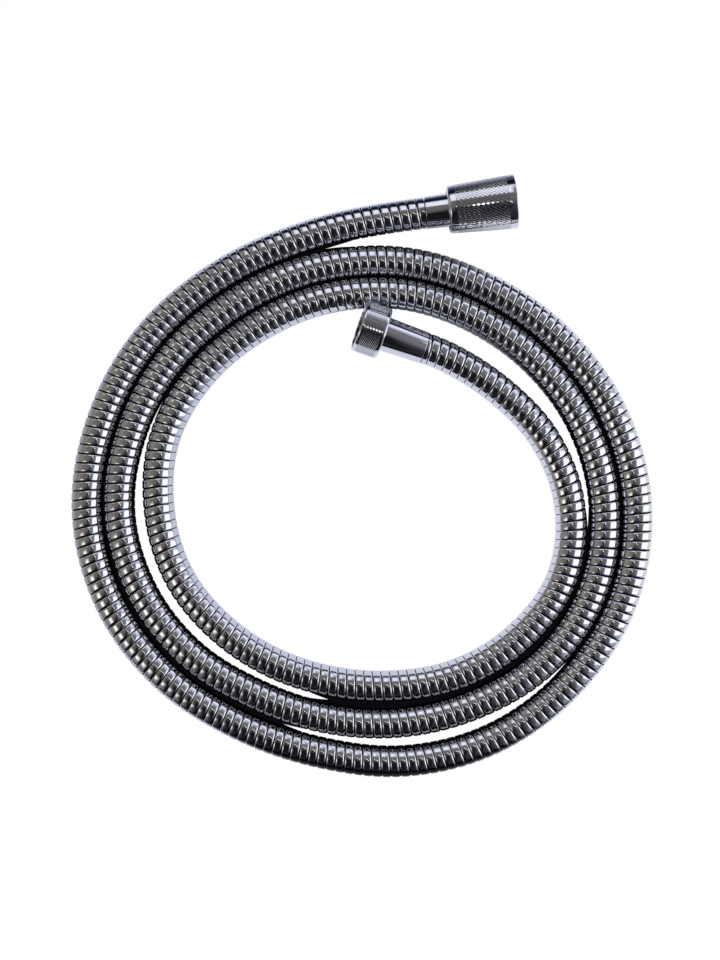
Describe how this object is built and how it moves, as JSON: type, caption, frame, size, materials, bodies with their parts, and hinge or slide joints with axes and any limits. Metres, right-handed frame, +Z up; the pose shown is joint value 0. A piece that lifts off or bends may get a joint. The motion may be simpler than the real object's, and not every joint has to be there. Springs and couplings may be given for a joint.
{
  "type": "shower hose",
  "caption": "Flexible metal shower hose in a loose flat coil, with a conical nut at one end and a short knurled nut at the other.",
  "frame": {"origin": "on the floor under the middle of the whole part's box, with the hose lying in its coil", "axes": "+Z up out of the floor; +Y across the coil towards the conical nut's side; +X to the right seen from above, roughly the way the conical nut opens"},
  "size_m": [0.2596, 0.267, 0.0275],
  "materials": {
    "hose_steel": "polished stainless steel strip",
    "chrome_plate": "bright chrome plate on brass",
    "bare_brass": "bare turned brass",
    "tube_rubber": "matte black rubber",
    "washer_rubber": "matte black rubber"
  },
  "bodies": {
    "hose": {"metal_hose": "hose_steel", "water_tube": "tube_rubber", "cone_ferrule": "chrome_plate", "cone_crimp_ring": "bare_brass", "cone_insert": "bare_brass", "wall_sleeve": "chrome_plate", "wall_crimp_ring": "bare_brass", "wall_insert": "bare_brass"},
    "cone_nut": {"cone_nut": "chrome_plate", "cone_washer": "washer_rubber"},
    "wall_nut": {"wall_nut": "chrome_plate", "wall_washer": "washer_rubber"}
  },
  "joints": [
    {"name": "cone_nut_spin", "type": "hinge", "parent": "hose", "child": "cone_nut", "pos_m": [0.05302, 0.12014, 0.01104], "axis": [0.9922, 0.1141, 0.0499], "continuous": true},
    {"name": "wall_nut_spin", "type": "hinge", "parent": "hose", "child": "wall_nut", "pos_m": [0.00422, 0.06462, 0.01556], "axis": [-0.9429, 0.3163, 0.1045], "continuous": true}
  ]
}
